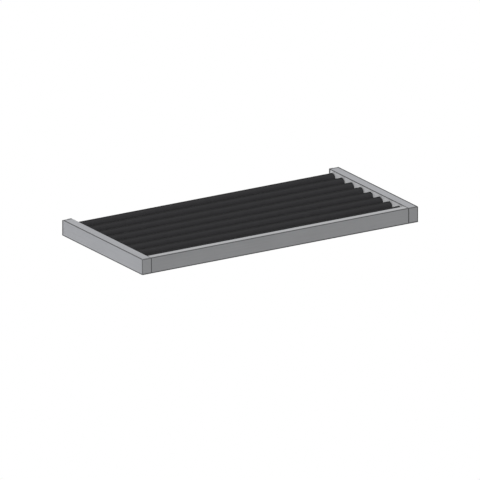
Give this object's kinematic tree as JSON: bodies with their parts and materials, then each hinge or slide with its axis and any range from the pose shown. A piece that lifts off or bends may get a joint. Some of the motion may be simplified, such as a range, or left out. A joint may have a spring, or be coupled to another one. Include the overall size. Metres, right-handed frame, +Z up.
{
  "type": "pull-out trouser rack",
  "caption": "Low pull-out trouser rack: satin aluminium frame with soft black sleeved bars across it, on ball slides that fasten to the side walls of a closet bay.",
  "frame": {"origin": "middle of the closed rack's footprint, at the height of its underside", "axes": "+X to the right along the bars, +Y to the back of the closet, +Z up; the rack pulls out towards -Y"},
  "size_m": [0.762, 0.3556, 0.0381],
  "materials": {
    "anodised_frame": "satin anodised",
    "end_cap": "satin grey",
    "mounting_plate": "satin anodised",
    "zinced_slide": "bright zinc plated",
    "ball_cage": "polished",
    "rubber_stop": "matte",
    "screw_steel": "zinc plated",
    "bar_tube": "mill finish",
    "bar_sleeve": "soft matte non-slip"
  },
  "bodies": {
    "wall_plates": {"left_mounting_plate": "mounting_plate", "left_cabinet_member": "zinced_slide", "left_rear_bumper": "rubber_stop", "right_mounting_plate": "mounting_plate", "right_cabinet_member": "zinced_slide", "right_rear_bumper": "rubber_stop"},
    "rack": {"left_side_profile": "anodised_frame", "left_front_cap": "end_cap", "left_rear_cap": "end_cap", "left_inner_member": "zinced_slide", "right_side_profile": "anodised_frame", "right_front_cap": "end_cap", "right_rear_cap": "end_cap", "right_inner_member": "zinced_slide", "front_rail": "anodised_frame", "bar_1_tube": "bar_tube", "bar_2_tube": "bar_tube", "bar_3_tube": "bar_tube", "bar_4_tube": "bar_tube", "bar_5_tube": "bar_tube", "bar_6_tube": "bar_tube", "bar_7_tube": "bar_tube", "bar_8_tube": "bar_tube", "bar_1_sleeve": "bar_sleeve", "bar_2_sleeve": "bar_sleeve", "bar_3_sleeve": "bar_sleeve", "bar_4_sleeve": "bar_sleeve", "bar_5_sleeve": "bar_sleeve", "bar_6_sleeve": "bar_sleeve", "bar_7_sleeve": "bar_sleeve", "bar_8_sleeve": "bar_sleeve", "bar_1_left_screw": "screw_steel", "bar_2_left_screw": "screw_steel", "bar_3_left_screw": "screw_steel", "bar_4_left_screw": "screw_steel", "bar_5_left_screw": "screw_steel", "bar_6_left_screw": "screw_steel", "bar_7_left_screw": "screw_steel", "bar_8_left_screw": "screw_steel", "front_rail_left_lower_screw": "screw_steel", "front_rail_left_upper_screw": "screw_steel", "bar_1_right_screw": "screw_steel", "bar_2_right_screw": "screw_steel", "bar_3_right_screw": "screw_steel", "bar_4_right_screw": "screw_steel", "bar_5_right_screw": "screw_steel", "bar_6_right_screw": "screw_steel", "bar_7_right_screw": "screw_steel", "bar_8_right_screw": "screw_steel", "front_rail_right_lower_screw": "screw_steel", "front_rail_right_upper_screw": "screw_steel"},
    "left_intermediate": {"left_intermediate_member": "zinced_slide"},
    "left_outer_cage": {"left_outer_ball_cage": "ball_cage"},
    "left_inner_cage": {"left_inner_ball_cage": "ball_cage"},
    "right_intermediate": {"right_intermediate_member": "zinced_slide"},
    "right_outer_cage": {"right_outer_ball_cage": "ball_cage"},
    "right_inner_cage": {"right_inner_ball_cage": "ball_cage"}
  },
  "joints": [
    {"name": "rack_slide", "type": "slide", "parent": "wall_plates", "child": "rack", "axis": [0, -1, 0], "range_m": [0, 0.35]},
    {"name": "left_intermediate_slide", "type": "slide", "parent": "wall_plates", "child": "left_intermediate", "axis": [0, -1, 0], "range_m": [0, 0.175]},
    {"name": "left_outer_cage_slide", "type": "slide", "parent": "wall_plates", "child": "left_outer_cage", "axis": [0, -1, 0], "range_m": [0, 0.0875]},
    {"name": "left_inner_cage_slide", "type": "slide", "parent": "wall_plates", "child": "left_inner_cage", "axis": [0, -1, 0], "range_m": [0, 0.2625]},
    {"name": "right_intermediate_slide", "type": "slide", "parent": "wall_plates", "child": "right_intermediate", "axis": [0, -1, 0], "range_m": [0, 0.175]},
    {"name": "right_outer_cage_slide", "type": "slide", "parent": "wall_plates", "child": "right_outer_cage", "axis": [0, -1, 0], "range_m": [0, 0.0875]},
    {"name": "right_inner_cage_slide", "type": "slide", "parent": "wall_plates", "child": "right_inner_cage", "axis": [0, -1, 0], "range_m": [0, 0.2625]}
  ],
  "couplings": [
    {"joint": "left_intermediate_slide", "follows": "rack_slide", "ratio": 0.5},
    {"joint": "left_outer_cage_slide", "follows": "rack_slide", "ratio": 0.25},
    {"joint": "left_inner_cage_slide", "follows": "rack_slide", "ratio": 0.75},
    {"joint": "right_intermediate_slide", "follows": "rack_slide", "ratio": 0.5},
    {"joint": "right_outer_cage_slide", "follows": "rack_slide", "ratio": 0.25},
    {"joint": "right_inner_cage_slide", "follows": "rack_slide", "ratio": 0.75}
  ]
}
